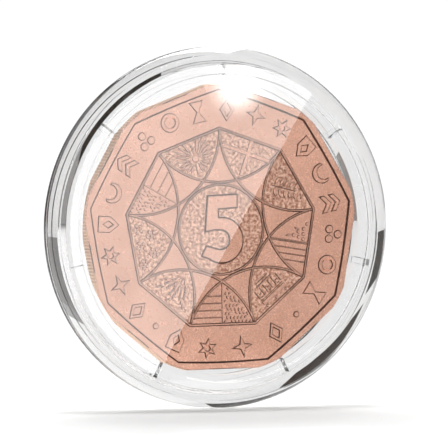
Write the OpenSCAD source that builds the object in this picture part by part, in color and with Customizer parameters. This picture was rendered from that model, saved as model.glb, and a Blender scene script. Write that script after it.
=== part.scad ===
/* [Coin] */
// Diameter of the circle through the coin's rounded corners
coin_d = 28.5; // [26:0.1:32]
// Distance across the coin from the middle of a side to the coin's centre, doubled
coin_flats = 27.5; // [25:0.1:31]
// Thickness of the coin over its raised rims
coin_t = 1.9; // [1.4:0.1:2.4]
// Width of the raised rim along each side
coin_rim_w = 0.7; // [0.3:0.1:1.2]
// Depth of the sunk field inside the rim, on each face
coin_sink = 0.12; // [0.05:0.01:0.3]
// Circle through the corners of the inner frame line
frame_d = 20.2; // [16:0.2:24]
// Diameter of the round shield in the centre
shield_d = 8.9; // [6:0.1:12]
// Angle that the coin has rolled in its pocket
coin_roll = 1; // [-20:1:20]
// How far the coin has dropped in its pocket, because the capsule stands on edge
coin_drop = 0.15; // [0:0.01:0.19]

/* [Pocket] */
// Gap between the coin's corners and the pocket wall
edge_play = 0.2; // [0.1:0.05:0.5]
// Gap between each coin face and the window over it
face_play = 0.15; // [0.05:0.05:0.4]

/* [Shells] */
// Diameter over the rim band of the closed capsule
rim_d = 35.5; // [34.5:0.1:40]
// Thickness of the closed capsule
body_t = 4.8; // [4.4:0.1:7]
// Width of the straight band round the rim, both shells together
band_w = 1.1; // [0.6:0.1:1.6]
// Diameter where the sloping side turns over into the shoulder
shoulder_d = 34; // [33.6:0.1:34.4]
// Depth of the shoulder below the face ring
shoulder_drop = 0.5; // [0.3:0.1:0.9]
// Outer diameter of the flat ring that the capsule lies on
face_d = 32.2; // [31.6:0.1:33]
// Diameter of the window inside that ring
window_d = 30.2; // [29.4:0.1:31]
// Depth of the window below the ring
window_step = 0.15; // [0.05:0.05:0.4]
// Gap at the seam between the two shells
seam_gap = 0.04; // [0.02:0.01:0.1]

/* [Collar] */
// Wall of the collar that stands up from the base shell
collar_wall = 1.5; // [0.8:0.1:1.8]
// Gap between the collar and the lid's skirt
collar_fit = 0.05; // [0.02:0.01:0.1]
// Gap between the collar's top and the lid
collar_head = 0.05; // [0.02:0.01:0.2]
// Number of spring slots cut through the collar
slot_count = 7; // [2:1:8]
// Width of a spring slot
slot_w = 0.6; // [0.4:0.1:2]
// Angle of the first spring slot, seen from the front
slot_angle = 192.5; // [0:0.5:360]

/* [Hidden] */
$fn = 128;
half_t = body_t / 2;
rim_r = rim_d / 2;
pocket_r = coin_d / 2 + edge_play;
pocket_z = coin_t / 2 + face_play;
collar_r = pocket_r + collar_wall;
skirt_r = collar_r + collar_fit;
collar_top = pocket_z - collar_head;
window_z = half_t - window_step;
sides = 9;
corner = 360 / sides;

// The capsule stands on its rim: its axis lies along Y and its front faces -Y.
module standing() translate([0, 0, rim_r]) rotate([90, 0, 0]) children();

// The outside of one shell in section, from the window's centre to the seam, z growing outwards.
outside = [
    [0, window_z], [window_d / 2, window_z], [window_d / 2, half_t], [face_d / 2, half_t],
    [shoulder_d / 2, half_t - shoulder_drop], [rim_r, band_w / 2], [rim_r, seam_gap / 2]
];

module base_section()
    polygon([
        for (p = outside) [p[0], -p[1]],
        [collar_r, -seam_gap / 2], [collar_r, collar_top], [pocket_r, collar_top],
        [pocket_r, -pocket_z], [0, -pocket_z]
    ]);

module lid_section()
    polygon([
        for (p = outside) p,
        [skirt_r, seam_gap / 2], [skirt_r, pocket_z], [0, pocket_z]
    ]);

// Slots that let the collar spring as the lid is pressed over it.
module spring_slots()
    for (i = [0 : slot_count - 1])
        rotate(slot_angle + i * 360 / slot_count)
            translate([pocket_r - 0.5, -slot_w / 2, 0])
                cube([collar_wall + 1, slot_w, collar_top + 1]);

// Back shell: window, half of the rim, and the slotted collar round the coin.
module base_shell()
    color([0.9, 0.92, 0.95, 0.35])
        standing()
            difference() {
                rotate_extrude() base_section();
                spring_slots();
            }

// Front shell: window, half of the rim, and the skirt that closes over the collar.
module lid_shell()
    color([0.93, 0.94, 0.97, 0.35])
        standing()
            rotate_extrude() lid_section();

// A nine-sided plate with a corner on top; inset moves its sides inwards.
module nonagon(inset, t)
    rotate(90)
        cylinder(r = (coin_flats / 2 - inset) / cos(corner / 2), h = t, center = true, $fn = sides);

// The coin's outline: a nonagon whose corners are rounded off by the coin's circle.
module coin_outline(t)
    intersection() {
        nonagon(0, t);
        cylinder(d = coin_d, h = t, center = true);
    }

// A nine-sided line with its outer corners on a circle of diameter d.
module frame_line(d, w, t)
    rotate(90)
        difference() {
            cylinder(d = d, h = t, center = true, $fn = sides);
            cylinder(d = d - 2 * w / cos(corner / 2), h = t + 1, center = true, $fn = sides);
        }

// Nine-sided coin: raised rim, inner frame line and round centre shield on both faces.
module coin()
    color([0.85, 0.6, 0.48])
        standing() translate([0, -coin_drop, 0]) rotate(coin_roll) {
            line_t = coin_t - coin_sink;
            union() {
                coin_outline(coin_t - 2 * coin_sink);
                difference() {
                    coin_outline(coin_t);
                    nonagon(coin_rim_w, coin_t + 1);
                }
                frame_line(frame_d, 0.3, line_t);
                cylinder(d = shield_d, h = line_t, center = true);
            }
        }

base_shell();
lid_shell();
coin();
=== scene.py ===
import math

import bpy
from mathutils import Matrix, Vector


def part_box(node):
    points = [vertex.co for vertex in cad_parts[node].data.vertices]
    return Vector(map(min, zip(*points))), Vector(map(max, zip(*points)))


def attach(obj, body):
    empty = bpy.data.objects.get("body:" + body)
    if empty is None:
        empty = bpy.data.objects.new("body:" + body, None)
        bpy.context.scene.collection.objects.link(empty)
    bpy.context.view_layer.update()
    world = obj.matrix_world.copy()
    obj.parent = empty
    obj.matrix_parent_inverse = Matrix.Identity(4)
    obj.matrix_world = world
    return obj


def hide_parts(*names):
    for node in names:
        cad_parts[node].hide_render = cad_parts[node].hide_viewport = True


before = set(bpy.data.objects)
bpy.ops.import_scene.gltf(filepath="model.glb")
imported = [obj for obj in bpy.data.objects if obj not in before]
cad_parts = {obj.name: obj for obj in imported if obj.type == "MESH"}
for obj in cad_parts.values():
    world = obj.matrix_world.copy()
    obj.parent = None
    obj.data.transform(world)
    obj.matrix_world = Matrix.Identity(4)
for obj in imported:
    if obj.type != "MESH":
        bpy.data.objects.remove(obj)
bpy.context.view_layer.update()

MM = 0.001
# Points of an outline that lie this close, in mm, are one point.
MERGE = 0.0005

# ---------------------------------------------------------------- coin blank
# The coin is struck from a round copper blank into a nine-sided shape with rounded corners.
# Its edge is reeded all round, and a raised rim protects both faces.

COIN_LOW, COIN_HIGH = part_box("coin")
COIN_RADIUS = 14.25
COIN_SIDE = 13.75
COIN_HALF = (COIN_HIGH[1] - COIN_LOW[1]) / MM / 2
COIN_ROLL = math.radians(1)
COIN_CENTRE_Z = 17.6
SIDES = 9
REEDS = 264
REED_STEPS = 6
REED_DEPTH = 0.07
EDGE_CHAMFER = 0.12
RIM_CORNER = 13.82
RIM_BOW = 0.15
RIM_SLOPE = 0.18
FIELD_SINK = 0.13
FIELD_Z = COIN_HALF - FIELD_SINK
# A face that looks this squarely out of the coin is flat metal, and not a flank; flanks are painted dark as
# shade.
FLAT_TOP = 0.93


def clear_selection():
    if bpy.context.object and bpy.context.object.mode != "OBJECT":
        bpy.ops.object.mode_set(mode="OBJECT")
    bpy.ops.object.select_all(action="DESELECT")


def only(ob):
    clear_selection()
    ob.select_set(True)
    bpy.context.view_layer.objects.active = ob
    return ob


def stand(ob, centre_z, roll=0.0):
    """Turns a piece that was modelled flat in millimetres up to face -Y, at its place in metres."""
    only(ob)
    place = (
        Matrix.Translation((0, 0, centre_z * MM))
        @ Matrix.Rotation(math.radians(90), 4, "X")
        @ Matrix.Rotation(roll, 4, "Z")
        @ Matrix.Scale(MM, 4)
    )
    ob.data.transform(place)
    ob.data.update()
    return ob


def side_distance(angle, apothem, bow=0.0):
    """How far out a nine-sided outline lies at an angle; bow swells the middle of each side."""
    corner = 2 * math.pi / SIDES
    off = (angle - math.pi / 2) % corner - corner / 2
    return apothem / math.cos(off) + bow * (1 - (2 * off / corner) ** 2)


def reeded(angle):
    plain = min(COIN_RADIUS, side_distance(angle, COIN_SIDE))
    return plain - REED_DEPTH * (0.5 - 0.5 * math.cos(angle * REEDS))


def chamfered(angle):
    return min(COIN_RADIUS, side_distance(angle, COIN_SIDE)) - EDGE_CHAMFER


def rim_inside(angle, slope=0.0):
    return side_distance(angle, RIM_CORNER * math.cos(math.pi / SIDES), RIM_BOW) - slope


def rim_foot(angle):
    return rim_inside(angle, RIM_SLOPE)


def coin_blank():
    levels = [
        (rim_foot, -FIELD_Z),
        (rim_inside, -COIN_HALF),
        (chamfered, -COIN_HALF),
        (reeded, -COIN_HALF + EDGE_CHAMFER),
        (reeded, COIN_HALF - EDGE_CHAMFER),
        (chamfered, COIN_HALF),
        (rim_inside, COIN_HALF),
        (rim_foot, FIELD_Z),
    ]
    steps = REEDS * REED_STEPS
    clear_selection()
    bpy.ops.mesh.primitive_circle_add(vertices=steps, radius=1, fill_type="NGON")
    ob = bpy.context.object
    bpy.ops.object.mode_set(mode="EDIT")
    for _ in levels[1:]:
        bpy.ops.mesh.extrude_region_move()
    bpy.ops.object.mode_set(mode="OBJECT")
    for i, vert in enumerate(ob.data.vertices):
        radius, z = levels[i // steps]
        angle = 2 * math.pi * (i % steps) / steps + math.pi / 2
        vert.co = (radius(angle) * math.cos(angle), radius(angle) * math.sin(angle), z)
    only(ob)
    bpy.ops.object.mode_set(mode="EDIT")
    bpy.ops.mesh.select_all(action="SELECT")
    bpy.ops.mesh.normals_make_consistent(inside=False)
    bpy.ops.object.mode_set(mode="OBJECT")
    ob.name = ob.data.name = "coin_blank"
    return ob


def linear(code):
    """The linear colour of an sRGB hex code."""
    parts = [int(code[i : i + 2], 16) / 255 for i in (1, 3, 5)]
    return tuple(c / 12.92 if c <= 0.04045 else ((c + 0.055) / 1.055) ** 2.4 for c in parts) + (1.0,)


def add(mat, kind, settings=None, **links):
    """Adds a node; settings go on its sockets or properties, links join its inputs to other sockets."""
    node = mat.node_tree.nodes.new(kind)
    for name, value in (settings or {}).items():
        if name in node.inputs:
            node.inputs[name].default_value = value
        else:
            setattr(node, name, value)
    for name, source in links.items():
        mat.node_tree.links.new(source, node.inputs[name.replace("_", " ")])
    return node


def new_material(name):
    mat = bpy.data.materials.new(name)
    mat.use_nodes = True
    mat.node_tree.nodes.clear()
    return mat


def finish_material(mat, shader):
    out = mat.node_tree.nodes.new("ShaderNodeOutputMaterial")
    mat.node_tree.links.new(shader, out.inputs["Surface"])
    return mat


def copper(name, light, dark, rough, grain_mm, grain_bump, pits_painted_dark=False):
    """Struck copper: metal colour that drifts a little over the face, with a fine grain. On pitted grounds
    the colour follows the grain instead, and the low pits are painted dark as shade.
    """
    mat = new_material(name)
    spot = add(mat, "ShaderNodeTexCoord").outputs["Object"]
    drift = add(mat, "ShaderNodeTexNoise", {"Scale": 1 / (4 * MM), "Detail": 3.0}, Vector=spot)
    fine = {"Scale": 1 / (grain_mm * MM), "Detail": 2.0, "Roughness": 0.6}
    grain = add(mat, "ShaderNodeTexNoise", fine, Vector=spot)
    colour = add(mat, "ShaderNodeMix", {"data_type": "RGBA"})
    # On pitted grounds the colour follows the grain, so the pits are painted dark as shade.
    shown = grain if pits_painted_dark else drift
    spread = add(mat, "ShaderNodeMapRange", {"From Min": 0.38, "From Max": 0.62}, Value=shown.outputs["Fac"])
    mat.node_tree.links.new(spread.outputs["Result"], colour.inputs["Factor"])
    colour.inputs[6].default_value = linear(dark)
    colour.inputs[7].default_value = linear(light)
    either_side = {"To Min": rough - 0.05, "To Max": rough + 0.05}
    gloss = add(mat, "ShaderNodeMapRange", either_side, Value=grain.outputs["Fac"])
    relief = {"Strength": 1.0, "Distance": grain_bump * MM}
    bump = add(mat, "ShaderNodeBump", relief, Height=grain.outputs["Fac"])
    body = add(
        mat,
        "ShaderNodeBsdfPrincipled",
        {"Metallic": 1.0},
        Roughness=gloss.outputs["Result"],
        Normal=bump.outputs["Normal"],
    )
    mat.node_tree.links.new(colour.outputs[2], body.inputs["Base Color"])
    return finish_material(mat, body.outputs["BSDF"])


# Polished field of the die: smooth metal that mirrors softly.
copper_field = copper("struck_copper_polished", "#DDAB95", "#D3A089", 0.26, 0.25, 0.0012)
# Flanks of the relief and the inner slope of the rim: metal the die left dull, painted much darker than that
# as shade, so that each raised shape shows a dark outline.
copper_flank_painted_shade = copper("struck_copper_flank_painted_shade", "#5A3424", "#44281B", 0.4, 0.25, 0.002)
# Reeded edge: milled, brighter and a little yellower than the faces.
copper_reed = copper("milled_copper_edge", "#F6C79C", "#E3A878", 0.32, 0.25, 0.002)


def goes_with_coin(ob):
    """Stands a piece of the coin up in its place and lets it turn with the coin."""
    stand(ob, COIN_CENTRE_Z, COIN_ROLL)
    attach(ob, "coin")


blank = coin_blank()
for finish in (copper_field, copper_reed, copper_flank_painted_shade):
    blank.data.materials.append(finish)
# Side faces get the milled edge; the inner slope of the rim gets the dark flank metal, which is painted
# shade.
for face in blank.data.polygons:
    from_slope = abs(abs(face.center.z) - (COIN_HALF + FIELD_Z) / 2)
    if abs(face.normal.z) < 0.3:
        face.material_index = 1
    elif abs(face.normal.z) < FLAT_TOP and face.center.xy.length < COIN_SIDE and from_slope < 0.02:
        face.material_index = 2
goes_with_coin(blank)
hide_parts("coin")

# ---------------------------------------------------------------- obverse relief
# Everything that stands proud of the front field: the numeral on its round stippled shield,
# nine curved panels inside a nine-sided frame line, and a ring of ornament marks.
# On the real coin it is all one piece with the blank, pressed up by the die.

RIDGE = 0.15
RIDGE_SINK = 0.055
FRAME_CORNER = 9.93
SHIELD_R = 4.4
ARC_LOW = 4.62
MARK_RING = 11.75
MARK_HALF = 1.15
PANEL_MID = 7.35
FRAME_RIDGE = 0.19
FRAME_RIDGE_SINK = 0.08
# A stippled ground is a skin this thick (mm), and its edge is this wide.
GROUND_RISE = 0.008
GROUND_EDGE = 0.004


def polar(radius, degrees):
    return (radius * math.cos(math.radians(degrees)), radius * math.sin(math.radians(degrees)))


def placed(outlines, radius, degrees, size=1.0):
    """Moves outlines drawn upright about (0, 0) out to a spot on the face, their top outwards."""
    spin = math.radians(degrees - 90)
    cx, cy = polar(radius, degrees)
    return [
        [
            (
                cx + size * (x * math.cos(spin) - y * math.sin(spin)),
                cy + size * (x * math.sin(spin) + y * math.cos(spin)),
            )
            for x, y in outline
        ]
        for outline in outlines
    ]


def disc(x, y, r, steps=14):
    turns = [math.tau * i / steps for i in range(steps)]
    return [(x + r * math.cos(turn), y + r * math.sin(turn)) for turn in turns]


def leaf(x, y, length, width, degrees, steps=5):
    """A pointed leaf that starts at (x, y) and grows in the direction given."""
    c, s = math.cos(math.radians(degrees)), math.sin(math.radians(degrees))
    half = [(length * i / steps, width / 2 * math.sin(math.pi * i / steps)) for i in range(steps + 1)]
    both = half + [(a, -b) for a, b in reversed(half[1:-1])]
    return [(x + a * c - b * s, y + a * s + b * c) for a, b in both]


def bar(x0, y0, x1, y1, width):
    nx, ny = Vector((y0 - y1, x1 - x0)).normalized() * width / 2
    return [(x0 - nx, y0 - ny), (x1 - nx, y1 - ny), (x1 + nx, y1 + ny), (x0 + nx, y0 + ny)]


def arc(cx, cy, r, start, end, steps):
    angles = [start + (end - start) * i / steps for i in range(steps + 1)]
    return [(cx + r * math.cos(math.radians(a)), cy + r * math.sin(math.radians(a))) for a in angles]


def joined(obs, name):
    only(obs[0])
    for ob in obs:
        ob.select_set(True)
    bpy.ops.object.join()
    obs[0].name = obs[0].data.name = name
    return obs[0]


def flat_sheet(outlines):
    """One flat mesh from closed outlines; an outline inside another is a hole."""
    curve = bpy.data.curves.new("outline", "CURVE")
    curve.dimensions = "2D"
    curve.fill_mode = "BOTH"
    for outline in outlines:
        spline = curve.splines.new("POLY")
        spline.points.add(len(outline) - 1)
        for point, (x, y) in zip(spline.points, outline):
            point.co = (x, y, 0, 1)
        spline.use_cyclic_u = True
    ob = bpy.data.objects.new("outline", curve)
    bpy.context.collection.objects.link(ob)
    only(ob)
    bpy.ops.object.convert(target="MESH")
    return bpy.context.object


def raised(outlines, rise, slope, sink=0.04):
    """Raises flat-topped shapes from the field, with sloping flanks of the width given."""
    ob = flat_sheet(outlines)
    bpy.ops.object.mode_set(mode="EDIT")
    bpy.ops.mesh.select_all(action="SELECT")
    bpy.ops.mesh.remove_doubles(threshold=MERGE)
    bpy.ops.mesh.extrude_region_move(TRANSFORM_OT_translate={"value": (0, 0, sink)})
    bpy.ops.mesh.inset(thickness=slope, depth=rise, use_boundary=True)
    bpy.ops.mesh.select_all(action="SELECT")
    bpy.ops.mesh.normals_make_consistent(inside=False)
    bpy.ops.object.mode_set(mode="OBJECT")
    ob.data.transform(Matrix.Translation((0, 0, FIELD_Z - sink)))
    return ob


def ridge(points, closed=False, radius=RIDGE, sink=RIDGE_SINK):
    """A raised line with a narrow flat top, made from an eight-sided wire half buried in the field."""
    curve = bpy.data.curves.new("ridge", "CURVE")
    curve.dimensions = "3D"
    curve.bevel_depth = radius
    curve.bevel_resolution = 2
    curve.use_fill_caps = True
    spline = curve.splines.new("POLY")
    spline.points.add(len(points) - 1)
    for point, (x, y) in zip(spline.points, points):
        point.co = (x, y, FIELD_Z - sink, 1)
        point.tilt = math.pi / 8
    spline.use_cyclic_u = closed
    ob = bpy.data.objects.new("ridge", curve)
    bpy.context.collection.objects.link(ob)
    only(ob)
    bpy.ops.object.convert(target="MESH")
    ob = bpy.context.object
    bpy.ops.object.mode_set(mode="EDIT")
    bpy.ops.mesh.select_all(action="SELECT")
    bpy.ops.mesh.remove_doubles(threshold=MERGE)
    bpy.ops.mesh.normals_make_consistent(inside=False)
    bpy.ops.object.mode_set(mode="OBJECT")
    return ob


# Each bowed line is an arc from one frame corner to the next but one, past the shield.
HALF_CHORD = FRAME_CORNER * math.sin(math.radians(40))
BOW = FRAME_CORNER * math.cos(math.radians(40)) - ARC_LOW
BOW_R = (HALF_CHORD**2 + BOW**2) / (2 * BOW)


def star_arc(k, steps=40):
    middle = 90 + 40 * k
    cx, cy = polar(ARC_LOW + BOW_R, middle)
    spread = math.degrees(math.asin(HALF_CHORD / BOW_R))
    return arc(cx, cy, BOW_R, middle + 180 - spread, middle + 180 + spread, steps)


# Stippled grounds, matt and pitted all over, with the low pits painted dark as shade and the grain between
# them light.
# Real pits are finer, too fine to show in a render, so the grain is drawn 0.28 mm across.
copper_stipple_painted_shade = copper("struck_copper_stippled_painted_shade", "#EEC5AE", "#A06A54", 0.36, 0.28, 0.12, pits_painted_dark=True)


def coppered(ob, top=copper_field):
    """Gives flat tops one finish and the sloping flanks the dark one, which is painted shade."""
    ob.data.materials.clear()
    ob.data.materials.append(top)
    ob.data.materials.append(copper_flank_painted_shade)
    for face in ob.data.polygons:
        face.material_index = 0 if abs(face.normal.z) > FLAT_TOP else 1
    return ob


PANEL_TOP = FRAME_CORNER * math.cos(math.radians(20)) - PANEL_MID
PANEL_FOOT = -2.2


def panel_edge(y):
    """Half the width of a curved panel at a height above its middle."""
    centre_x = (ARC_LOW + BOW_R) * math.sin(math.radians(20))
    centre_y = (ARC_LOW + BOW_R) * math.cos(math.radians(20)) - PANEL_MID
    return max(math.sqrt(max(BOW_R**2 - (y - centre_y) ** 2, 0)) - centre_x, 0)


def panel_ground(steps=12):
    ys = [PANEL_FOOT + (PANEL_TOP - PANEL_FOOT) * i / steps for i in range(steps + 1)]
    right = [(panel_edge(y), y) for y in ys]
    return right + [(-x, y) for x, y in reversed(right[1:])]


def flower(x, y, r):
    """A small rosette: a round boss and five petals."""
    angles = [math.radians(90 + 72 * i) for i in range(5)]
    petals = [disc(x + 0.62 * r * math.cos(a), y + 0.62 * r * math.sin(a), 0.3 * r, 9) for a in angles]
    return petals + [disc(x, y, 0.26 * r, 9)]


def wheat(x, y, length, degrees, grains=6):
    """An ear: grains in pairs along a stalk, with one at the tip."""
    c, s = math.cos(math.radians(degrees)), math.sin(math.radians(degrees))
    shapes = []
    for i in range(grains):
        t = length * (0.3 + 0.6 * i / grains)
        for side in (-1, 1):
            px, py = x + t * c - side * 0.07 * s, y + t * s + side * 0.07 * c
            shapes.append(leaf(px, py, 0.42, 0.17, degrees + side * 38, 4))
    shapes.append(leaf(x + 0.95 * length * c, y + 0.95 * length * s, 0.4, 0.17, degrees, 4))
    shapes.append(bar(x, y, x + 0.28 * length * c, y + 0.28 * length * s, 0.08))
    return shapes


def palmette():
    """A fan of long leaves about an upright boss, like a spread pair of fronds."""
    shapes = [disc(0, 0.12, 0.36, 12), disc(0, 1.3, 0.13, 8), leaf(0, 0.56, 0.6, 0.22, 90)]
    for side in (-1, 1):
        for i in range(9):
            angle = 62 - 15 * i
            lean = 90 - side * (90 - angle)
            x, y = 0.52 * math.cos(math.radians(lean)), 0.15 + 0.52 * math.sin(math.radians(lean))
            shapes.append(leaf(x, y, 1.85 - 0.07 * abs(i - 2) - 0.03 * i, 0.25, lean + side * 6, 6))
        shapes.append(leaf(side * 0.12, -0.32, 1.1, 0.2, -90 + side * 9))
    return [shape for shape in shapes if max(abs(x) - panel_edge(y) for x, y in shape) < -0.1]


def sprig():
    """A leafy branch with berries that leans across the panel."""
    shapes = [bar(-0.9, -0.55, 0.9, 1.25, 0.1)]
    for i in range(5):
        x, y = -0.75 + 0.38 * i, -0.38 + 0.38 * i
        shapes.append(leaf(x - 0.1, y + 0.1, 0.95 - 0.05 * i, 0.34, 112, 6))
        shapes.append(leaf(x + 0.12, y - 0.1, 0.95 - 0.05 * i, 0.34, -22, 6))
    spots = [(-1.45, 1.4), (-1.9, 1.1), (1.35, 0.95), (1.75, 1.4), (0.35, -1.05)]
    return shapes + [disc(x, y, 0.12, 8) for x, y in spots]


def sheaf():
    """Three ears of grain tied at the foot."""
    return (
        wheat(-0.1, -1.3, 2.3, 118) + wheat(0.0, -1.25, 2.5, 90) + wheat(0.1, -1.3, 2.3, 62)
        + [leaf(-0.9, -0.35, 0.9, 0.22, 150), leaf(0.9, -0.35, 0.9, 0.22, 30)]
        + [leaf(-1.35, 0.75, 0.8, 0.24, 130), leaf(1.35, 0.75, 0.8, 0.24, 50)]
    )


def flowers():
    spots = [(-1.75, 1.15), (0, 1.15), (1.75, 1.15), (-0.85, -0.1), (0.85, -0.1)]
    return [shape for x, y in spots for shape in flower(x, y, 0.62)]


def gate():
    """A gate with three battlemented bays over a bolted sill."""
    shapes = [bar(-1.5, 1.15, 1.5, 1.15, 0.42)]
    shapes += [disc(x, 1.6, 0.16, 9) for x in (-1.25, 0, 1.25)]
    for x in (-1.1, 0, 1.1):
        shapes += [bar(x - 0.32, -0.35, x - 0.32, 0.62, 0.14), bar(x + 0.32, -0.35, x + 0.32, 0.62, 0.14)]
        shapes += [bar(x - 0.14, 0.55, x + 0.14, 0.55, 0.12), bar(x - 0.14, 0.2, x + 0.14, 0.2, 0.12)]
    shapes += [bar(-1.45, 0.8, 1.45, 0.8, 0.09), bar(-1.0, -0.55, 1.0, -0.55, 0.16)]
    shapes += [bar(-0.75, -0.85, 0.75, -0.85, 0.1)]
    return shapes


def scrolls(side):
    """Small curled leaves that fill one half of a panel."""
    shapes = []
    for row in range(9):
        y = 1.65 - 0.4 * row
        wide = panel_edge(y - 0.1) - 0.25
        for i in range(int(wide / 0.42)):
            x = side * (0.32 + 0.42 * i)
            shapes.append(leaf(x - 0.13, y - 0.08, 0.4, 0.2, 38 + (67 * row + 97 * i) % 110, 4))
    return shapes


def stripes_across(side, heights, width=0.13):
    return [bar(side * 0.08, y, side * (panel_edge(y) - 0.1), y, width) for y in heights]


def stripes_along(places, width=0.13):
    shapes = []
    for x in places:
        low = min(y / 20 for y in range(-44, 40) if panel_edge(y / 20) > abs(x) + 0.1)
        shapes.append(bar(x, low, x, PANEL_TOP - 0.1, width))
    return shapes


def berries():
    spots = [(-0.55, 0.3), (-0.95, 0.75), (-0.45, 0.85), (-1.3, 1.25), (-0.8, 1.3), (-0.3, 1.35)]
    spots.append((-1.8, 1.55))
    leaves = [leaf(-0.35, -0.6, 0.75, 0.25, 110), leaf(-1.3, 0.2, 0.6, 0.2, 80)]
    return [disc(x, y, 0.2, 9) for x, y in spots] + leaves


# Each panel clockwise from the one left of the top corner: the direction of its middle, its motif,
# and whether its ground is stippled.
panels = [
    (110, palmette(), True),
    (70, [bar(-2.65, 0.55, 2.65, 0.55, 0.42)], True),
    (30, sprig(), True),
    (-10, berries() + stripes_along([0.15, 0.75, 1.35, 1.95]), False),
    (-50, gate(), True),
    (-90, scrolls(-1) + stripes_across(1, [1.3, 0.6, -0.1, -0.8]), False),
    (-130, sheaf(), True),
    (-170, flowers(), True),
    (150, scrolls(-1) + stripes_across(1, [1.1, 0.2, -0.7]), False),
]

parts = []
for middle, motif, stippled in panels:
    if stippled:
        ground = placed([panel_ground()], PANEL_MID, middle)
        parts.append(coppered(raised(ground, GROUND_RISE, GROUND_EDGE), copper_stipple_painted_shade))
    parts.append(coppered(raised(placed(motif, PANEL_MID, middle), 0.075, 0.05)))
upright = bar(0.25, -1.7, 0.25, PANEL_TOP - 0.08, 0.42)
parts.append(coppered(raised(placed([upright], PANEL_MID, 70), 0.078, 0.05)))
# A thin rib parts each panel that is not stippled into two halves.
for middle in (-10, -90, 150):
    parts.append(coppered(raised(placed([bar(0, -2.1, 0, PANEL_TOP, 0.12)], PANEL_MID, middle), 0.07, 0.04)))

frame_corners = [polar(FRAME_CORNER, 90 + 40 * k) for k in range(SIDES)]
parts.append(coppered(ridge(frame_corners, closed=True, radius=FRAME_RIDGE, sink=FRAME_RIDGE_SINK)))
parts += [coppered(ridge(star_arc(k))) for k in range(SIDES)]
parts.append(coppered(ridge(disc(0, 0, SHIELD_R, 96), closed=True)))
parts.append(coppered(raised([disc(0, 0, SHIELD_R, 96)], GROUND_RISE, GROUND_EDGE), copper_stipple_painted_shade))

numeral = (
    [(-1.45, 3.4), (1.8, 3.5), (1.8, 2.02), (-0.2, 1.92), (-0.2, 1.24)]
    + arc(0.05, -1.08, 2.32, 86, -128, 26)
    + [(-2.2, -2.62), (-1.62, -1.5)]
    + arc(-0.1, -1.02, 0.88, -115, 88, 14)
    + [(-0.9, -0.1), (-1.78, -0.32)]
)
parts.append(coppered(raised([numeral], 0.125, 0.16)))


def lozenge(w, h):
    return [(w, 0), (0, h), (-w, 0), (0, -h)]


def star(points, outer, inner):
    radii = [outer, inner] * points
    turns = [math.pi * i / points for i in range(2 * points)]
    return [(r * math.sin(turn), r * math.cos(turn)) for r, turn in zip(radii, turns)]


def chevron(y, w=0.85, h=0.6, t=0.6):
    return [(-w, y), (0, y + h), (w, y), (w, y - t), (0, y + h - t), (-w, y - t)]


MARKS = [
    [lozenge(0.8, MARK_HALF), lozenge(0.36, 0.55)],
    [disc(0, 0.0, 0.95, 28), disc(0, 0.0, 0.5, 20)],
    [chevron(0.5), chevron(-0.45)],
    [[(-0.8, 1.05), (0.8, 1.05), (0.8, -0.2), (0, -1.15), (-0.8, -0.2)], lozenge(0.3, 0.45)],
    [star(4, MARK_HALF, 0.38)],
    [[(-0.75, 1.05), (0.75, 1.05), (0.16, 0.0), (0.75, -1.05), (-0.75, -1.05), (-0.16, 0.0)]],
    [disc(0, 0.55, 0.42, 16), disc(-0.46, -0.35, 0.42, 16), disc(0.46, -0.35, 0.42, 16)],
    [arc(0, 0.15, 1.0, 160, 380, 20) + arc(0, 0.4, 0.68, 20, -200, 16)],
    [star(6, 1.05, 0.5), disc(0, 0, 0.24, 12)],
]
long_run = [221 - 15 * i for i in range(18)]
short_run = [-61.6, -80, -98, -114.5]
marks = []
for i, angle in enumerate(long_run + short_run):
    marks += placed(MARKS[(i * 4) % len(MARKS)], MARK_RING, angle, size=1.02)
marks += [disc(*polar(11.6, angle), 0.32, 14) for angle in (-48, -127)]
parts.append(coppered(raised(marks, 0.1, 0.09)))

obverse = joined(parts, "coin_obverse_relief")
goes_with_coin(obverse)

# ---------------------------------------------------------------- reverse relief
# The back of the coin: a rosette of leaves in a beaded ring, struck like the front.

parts = []
petals = [leaf(*polar(1.5, 30 * i), 4.6, 1.5, 30 * i, 10) for i in range(12)]
parts.append(coppered(raised(petals, 0.09, 0.07)))
parts.append(coppered(raised([disc(0, 0, 1.1, 32), disc(0, 0, 0.6, 24)], 0.1, 0.07)))
inner_leaves = [leaf(*polar(3.9, 15 + 30 * i), 2.6, 0.7, 15 + 30 * i, 8) for i in range(12)]
parts.append(coppered(raised(inner_leaves, 0.08, 0.06)))
parts.append(coppered(raised([disc(0, 0, 7.4, 96)], GROUND_RISE, GROUND_EDGE), copper_stipple_painted_shade))
parts.append(coppered(ridge(disc(0, 0, 7.4, 96), closed=True)))
parts.append(coppered(raised([disc(*polar(8.4, 7.5 * i), 0.26, 10) for i in range(48)], 0.08, 0.06)))
parts.append(coppered(ridge(frame_corners, closed=True, radius=FRAME_RIDGE, sink=FRAME_RIDGE_SINK)))
marks = []
for i in range(24):
    marks += placed(MARKS[(i * 2) % len(MARKS)], MARK_RING, 15 * i, size=0.9)
parts.append(coppered(raised(marks, 0.07, 0.055)))
reverse = joined(parts, "coin_reverse_relief")
reverse.data.transform(Matrix.Rotation(math.pi, 4, "Y"))

goes_with_coin(reverse)

# ---------------------------------------------------------------- base shell
# The back half of the capsule, moulded in one shot from clear acrylic: window, rim and spring collar.

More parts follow.
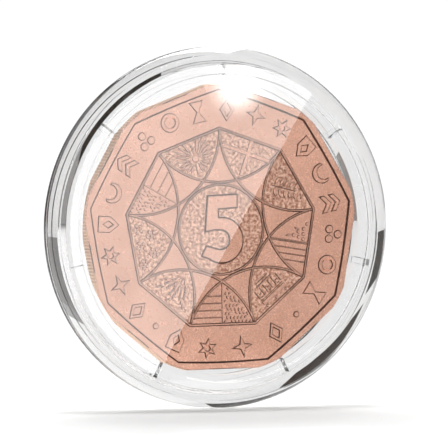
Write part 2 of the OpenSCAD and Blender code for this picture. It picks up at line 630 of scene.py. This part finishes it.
RIM_RADIUS = 17.75
HALF_THICK = 2.4
SEAM_HALF = 0.02
OUTSIDE = [
    (0, 2.25), (15.1, 2.25), (15.1, HALF_THICK), (16.1, HALF_THICK), (17.0, 1.9), (RIM_RADIUS, 0.55),
    (RIM_RADIUS, SEAM_HALF),
]
POCKET_R = 14.45
POCKET_Z = 1.1
COLLAR_R = 15.95
COLLAR_TOP = 1.05
SKIRT_R = 16.0
SPIN_STEPS = 180
SLOTS = 7
SLOT_WIDTH = 0.6
FIRST_SLOT = 192.5
EDGE_ROUND = 0.07
ACRYLIC_TINT = "#F6F6F6"
ACRYLIC_SHADE = "#DEDEDD"


def mixed(mat, factor, first, second):
    """One of two shaders, chosen by the factor."""
    mix = add(mat, "ShaderNodeMixShader")
    for socket, source in zip(mix.inputs, (factor, first, second)):
        mat.node_tree.links.new(source, socket)
    return mix.outputs["Shader"]


def clear_acrylic(name):
    """Polished acrylic. Lamps shine through it, dimmed a little, so that what is inside is lit."""
    mat = new_material(name)
    spot = add(mat, "ShaderNodeTexCoord").outputs["Object"]
    flow = add(mat, "ShaderNodeTexNoise", {"Scale": 1 / (6 * MM), "Detail": 1.0}, Vector=spot)
    bump = add(mat, "ShaderNodeBump", {"Strength": 1.0, "Distance": 0.004 * MM}, Height=flow.outputs["Fac"])
    body = add(
        mat,
        "ShaderNodeBsdfPrincipled",
        {"Base Color": linear(ACRYLIC_TINT), "Roughness": 0.0, "IOR": 1.49, "Transmission Weight": 1.0},
        Normal=bump.outputs["Normal"],
    )
    through = add(mat, "ShaderNodeBsdfTransparent", {"Color": linear(ACRYLIC_SHADE)})
    path = add(mat, "ShaderNodeLightPath")
    return finish_material(
        mat, mixed(mat, path.outputs["Is Shadow Ray"], body.outputs["BSDF"], through.outputs["BSDF"])
    )


def turned(name, section):
    """Spins a half section, given as (radius, height) from centre to centre, into a closed shell."""
    clear_selection()
    mesh = bpy.data.meshes.new(name)
    mesh.from_pydata([(r, 0, z) for r, z in section], [(i, i + 1) for i in range(len(section) - 1)], [])
    ob = bpy.data.objects.new(name, mesh)
    bpy.context.collection.objects.link(ob)
    only(ob)
    bpy.ops.object.mode_set(mode="EDIT")
    bpy.ops.mesh.select_all(action="SELECT")
    bpy.ops.mesh.spin(steps=SPIN_STEPS, angle=math.tau, center=(0, 0, 0), axis=(0, 0, 1))
    bpy.ops.mesh.select_all(action="SELECT")
    bpy.ops.mesh.remove_doubles(threshold=MERGE)
    bpy.ops.mesh.normals_make_consistent(inside=False)
    bpy.ops.object.mode_set(mode="OBJECT")
    return ob


def softened(ob):
    """Rounds the moulding's edges and smooths its round walls."""
    only(ob)
    bevel = ob.modifiers.new("edges", "BEVEL")
    bevel.width = EDGE_ROUND
    bevel.segments = 2
    bevel.limit_method = "ANGLE"
    bevel.angle_limit = math.radians(20)
    bevel.harden_normals = False
    bpy.ops.object.modifier_apply(modifier="edges")
    bpy.ops.object.shade_smooth_by_angle(angle=math.radians(28))
    # The windows are flat, so the smoothing of the edges must not bend the light in them.
    for face in ob.data.polygons:
        if abs(face.normal.z) > 0.999:
            face.use_smooth = False
    return ob


base_section = [(r, -z) for r, z in OUTSIDE] + [
    (COLLAR_R, -SEAM_HALF), (COLLAR_R, COLLAR_TOP), (POCKET_R, COLLAR_TOP), (POCKET_R, -POCKET_Z),
    (0, -POCKET_Z),
]
base = turned("base_shell_clear", base_section)
for i in range(SLOTS):
    angle = math.radians(FIRST_SLOT + i * 360 / SLOTS)
    clear_selection()
    bpy.ops.mesh.primitive_cube_add(size=1)
    cutter = bpy.context.object
    cutter.data.transform(
        Matrix.Rotation(angle, 4, "Z")
        @ Matrix.Translation(((POCKET_R + COLLAR_R) / 2, 0, COLLAR_TOP / 2 + 0.5))
        @ Matrix.Diagonal((COLLAR_R - POCKET_R + 1, SLOT_WIDTH, COLLAR_TOP + 1, 1))
    )
    cut = base.modifiers.new("slot", "BOOLEAN")
    cut.object = cutter
    cut.solver = "EXACT"
    only(base)
    bpy.ops.object.modifier_apply(modifier="slot")
    bpy.data.objects.remove(cutter)
softened(base)
stand(base, RIM_RADIUS)
base.data.materials.append(clear_acrylic("moulded_acrylic_base"))
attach(base, "base")
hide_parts("base_shell")

# ---------------------------------------------------------------- lid shell
# The front half, moulded like the base: window, rim and the skirt that closes over the collar.

lid_section = OUTSIDE + [(SKIRT_R, SEAM_HALF), (SKIRT_R, POCKET_Z), (0, POCKET_Z)]
lid = softened(turned("lid_shell_clear", lid_section))
stand(lid, RIM_RADIUS)
lid.data.materials.append(clear_acrylic("moulded_acrylic_lid"))
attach(lid, "lid")
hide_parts("lid_shell")

# ---------------------------------------------------------------- floor, light and camera
# A white table that runs on as far as the camera sees, white soft light, and the cards that a
# clear thing needs round it: its edges show only what stands about it.

centre = Vector((0, 0, RIM_RADIUS * MM))
VIEW_AZIMUTH = -20.5
VIEW_ELEVATION = 2.0
VIEW_DISTANCE = 0.6
VIEW_WIDTH = 0.04403
VIEW_RIGHT = 0.00073
VIEW_UP = 0.00033
CARD_LIFT = 0.0005
PAPER_INNER = 0.25
PAPER_OUTER = 0.8
PAPER_LIFT = 0.0003


def from_angles(azimuth, elevation, distance):
    """A point round the capsule: azimuth 0 is straight in front, and grows to its right."""
    a, e = math.radians(azimuth), math.radians(elevation)
    return centre + distance * Vector((math.sin(a) * math.cos(e), -math.cos(a) * math.cos(e), math.sin(e)))


def in_window(x, z, distance):
    """Where a thing must be, to be mirrored for the camera at a spot (in mm) on the front window."""
    spot = Vector((x * MM, -HALF_THICK * MM, z * MM))
    ray = (spot - from_angles(VIEW_AZIMUTH, VIEW_ELEVATION, VIEW_DISTANCE)).normalized()
    return spot + distance * Vector((ray.x, -ray.y, ray.z))


def glow(name, strength):
    mat = new_material(name)
    body = add(mat, "ShaderNodeEmission", {"Color": (1, 1, 1, 1), "Strength": strength})
    return finish_material(mat, body.outputs["Emission"])


def shaded_card(name, strength):
    """A dark card that shows in the edges of the acrylic but not straight through the windows."""
    mat = new_material(name)
    bounced = add(mat, "ShaderNodeMath", {"operation": "GREATER_THAN"})
    path = add(mat, "ShaderNodeLightPath")
    mat.node_tree.links.new(path.outputs["Glossy Depth"], bounced.inputs[0])
    bounced.inputs[1].default_value = 0.5
    clear = add(mat, "ShaderNodeBsdfTransparent")
    shade = add(mat, "ShaderNodeEmission", {"Strength": strength})
    return finish_material(mat, mixed(mat, bounced.outputs[0], clear.outputs[0], shade.outputs[0]))


def card(name, corners, mat, seen_by):
    """A flat stage card that only the kinds of ray named can see."""
    mesh = bpy.data.meshes.new(name)
    mesh.from_pydata(corners, [], [list(range(len(corners)))])
    mesh.materials.append(mat)
    ob = bpy.data.objects.new(name, mesh)
    bpy.context.collection.objects.link(ob)
    ob.visible_camera = ob.visible_shadow = ob.visible_diffuse = False
    ob.visible_glossy = "glossy" in seen_by
    ob.visible_transmission = "transmission" in seen_by
    return ob


def table_card(name, azimuths, near, far, mat):
    """A card lying on the table between two azimuths and two distances from the capsule's foot."""
    (a0, a1) = [math.radians(a) for a in azimuths]
    spots = ((a0, near), (a1, near), (a1, far), (a0, far))
    corners = [(r * math.sin(a), -r * math.cos(a), CARD_LIFT) for a, r in spots]
    return card(name, corners, mat, ("transmission",))


def sky_card(name, azimuths, elevations, distance, mat):
    """A card between two azimuths and two elevations, square to the capsule."""
    (a0, a1), (e0, e1) = azimuths, elevations
    corners = [from_angles(a, e, distance) for a, e in ((a0, e0), (a1, e0), (a1, e1), (a0, e1))]
    return card(name, corners, mat, ("transmission",))


clear_selection()
bpy.ops.mesh.primitive_plane_add(size=60.0)
floor = bpy.context.object
floor.name = "floor"
table = new_material("white_table")
body = add(table, "ShaderNodeBsdfPrincipled", {"Base Color": linear("#D6D6D6"), "Roughness": 0.8})
body.inputs["Specular IOR Level"].default_value = 0.1
floor.data.materials.append(finish_material(table, body.outputs["BSDF"]))

# White paper lies on the table from a quarter of a metre out, and stands up all round behind it.
clear_selection()
bpy.ops.mesh.primitive_circle_add(vertices=64, radius=PAPER_INNER, location=(0, 0, PAPER_LIFT))
surround = bpy.context.object
surround.name = "white_surround"
bpy.ops.object.mode_set(mode="EDIT")
bpy.ops.mesh.select_all(action="SELECT")
bpy.ops.mesh.extrude_edges_move(TRANSFORM_OT_translate={"value": (0, 0, 0)})
spread = PAPER_OUTER / PAPER_INNER
bpy.ops.transform.resize(value=(spread, spread, 1), center_override=(0, 0, PAPER_LIFT))
bpy.ops.mesh.extrude_edges_move(TRANSFORM_OT_translate={"value": (0, 0, 1.6)})
bpy.ops.object.mode_set(mode="OBJECT")
paper = glow("white_paper", 1.05)
paper.cycles.emission_sampling = "NONE"
surround.data.materials.append(paper)
surround.visible_shadow = surround.visible_diffuse = False
surround.visible_glossy = surround.visible_transmission = False

world = bpy.data.worlds.new("studio")
bpy.context.scene.world = world
world.use_nodes = True
world.node_tree.nodes["Background"].inputs["Color"].default_value = (1, 1, 1, 1)
world.node_tree.nodes["Background"].inputs["Strength"].default_value = 0.33
world.cycles.sampling_method = "NONE"


def softbox(name, azimuth, elevation, distance, width, height, power):
    data = bpy.data.lights.new(name, "AREA")
    data.shape = "RECTANGLE"
    data.size, data.size_y, data.energy = width, height, power
    ob = bpy.data.objects.new(name, data)
    bpy.context.collection.objects.link(ob)
    ob.location = from_angles(azimuth, elevation, distance)
    ob.rotation_euler = (centre - ob.location).to_track_quat("-Z", "Y").to_euler()
    ob.visible_camera = False
    return ob


softbox("top_softbox", 165, 45, 1.6, 0.9, 0.9, 19.0)
softbox("overhead_softbox", 165, 82, 1.0, 0.3, 0.04, 5.6).visible_transmission = False
for ob in (
    softbox("coin_softbox", 14, 6, 0.7, 0.45, 0.2, 1.9),
    softbox("left_softbox", -75, 35, 0.6, 0.2, 0.2, 1.2),
):
    ob.visible_transmission = False
    ob.data.use_shadow = False

# Black and grey cards round the table, which draw the dark lines in the edges of the acrylic.
black = glow("black_card", 0.01)
table_black = shaded_card("black_table_card", 0.01)
grey = glow("grey_card", 0.3)
table_grey = shaded_card("grey_table_card", 0.3)
sky_card("card_beside_camera", (0, 30), (-1.5, 11), 0.9, black)
sky_card("card_over_camera", (-30, 30), (11, 56), 0.9, black)
sky_card("card_left", (-92, -58), (-1.5, 56), 0.9, black)
sky_card("card_high_left", (-58, -30), (20, 56), 0.9, grey)
sky_card("card_back_left", (201, 235), (-1.4, 56), 0.7, black)
sky_card("card_low_back_left", (187, 201), (-1, 10), 0.7, black)
sky_card("card_high_back", (150, 201), (34, 56), 0.7, black)
sky_card("card_middle_back", (172, 190), (13, 34), 0.7, black)
sky_card("card_right", (108, 136), (-1, 12), 0.7, grey)
backdrop = sky_card("white_backdrop", (118, 201), (-1.0, 36), 1.0, glow("lit_backdrop", 1.05))
backdrop.visible_camera = True
overhead = [(x, y, 0.7) for x, y in ((-0.5, -0.5), (0.5, -0.5), (0.5, 0.5), (-0.5, 0.5))]
card("card_overhead", overhead, black, ("transmission",))
front = [(0.5, 0.0), (0.03, 0.0), (0.02, -0.03), (-0.045, -0.08), (-0.45, -0.9), (0.7, -0.9)]
card("card_front_table", [(x, y, CARD_LIFT) for x, y in front], table_black, ("transmission",))
table_card("card_behind_right", (138, 152), 0.03, 0.1, table_black)
table_card("card_far_behind_right", (146, 154), 0.1, 0.3, table_grey)
table_card("card_behind_left", (171, 181), 0.035, 0.1, table_black)
sky_card("softbox_right", (32, 60), (10, 35), 0.85, glow("softbox_right_cloth", 1.4))

# The long softbox mirrored in the front window, cut off by a slanting edge, and the lamp that
# flares in it. Each is seen only as a reflection.
bright_side = [(13.0, 37.5), (-7.9, 1.9), (-24, 1.9), (-24, 37.5)]
dark_side = [(13.0, 37.5), (24, 37.5), (24, 1.9), (-7.9, 1.9)]
for name, corners, mat in (
    ("mirrored_softbox", bright_side, glow("softbox_cloth", 5.5)),
    ("mirrored_wall", dark_side, glow("dim_wall", 0.4)),
):
    card(name, [in_window(x, z, 0.03) for x, z in corners], mat, ("glossy",))
lamp = new_material("lamp_flare")
spot = add(lamp, "ShaderNodeTexCoord").outputs["Generated"]
about_middle = {"Location": (-1.0, 0.0, -1.0), "Scale": (2.0, 0.0, 2.0)}
centred = add(lamp, "ShaderNodeMapping", about_middle, Vector=spot)
ball = add(lamp, "ShaderNodeTexGradient", {"gradient_type": "SPHERICAL"}, Vector=centred.outputs["Vector"])
falloff = add(lamp, "ShaderNodeMath", {"operation": "POWER"})
lamp.node_tree.links.new(ball.outputs["Fac"], falloff.inputs[0])
falloff.inputs[1].default_value = 2.5
scaled = add(lamp, "ShaderNodeMath", {"operation": "MULTIPLY_ADD"})
lamp.node_tree.links.new(falloff.outputs[0], scaled.inputs[0])
scaled.inputs[1].default_value = 60.0
scaled.inputs[2].default_value = 5.5
body = add(lamp, "ShaderNodeEmission", Strength=scaled.outputs[0])
finish_material(lamp, body.outputs["Emission"])
corners = [(-2.9, 27.6), (5.5, 27.6), (5.5, 36.0), (-2.9, 36.0)]
card("flare_lamp", [in_window(x, z, 0.025) for x, z in corners], lamp, ("glossy",))

camera_data = bpy.data.cameras.new("camera")
camera = bpy.data.objects.new("camera", camera_data)
bpy.context.collection.objects.link(camera)
bpy.context.scene.camera = camera
camera_data.lens = camera_data.sensor_width * VIEW_DISTANCE / VIEW_WIDTH
camera_data.clip_start = 0.01
camera.location = from_angles(VIEW_AZIMUTH, VIEW_ELEVATION, VIEW_DISTANCE)
camera.rotation_euler = (centre - camera.location).to_track_quat("-Z", "Y").to_euler()
right = camera.rotation_euler.to_matrix() @ Vector((1, 0, 0))
up = camera.rotation_euler.to_matrix() @ Vector((0, 1, 0))
camera.location += right * VIEW_RIGHT + up * VIEW_UP

scene = bpy.context.scene
scene.view_settings.view_transform = "Standard"
scene.cycles.max_bounces = 32
scene.cycles.transmission_bounces = 32
scene.cycles.glossy_bounces = 12
scene.cycles.use_denoising = True
scene.cycles.denoising_prefilter = "ACCURATE"
scene.cycles.denoising_input_passes = "RGB_ALBEDO_NORMAL"
scene.cycles.caustics_reflective = True
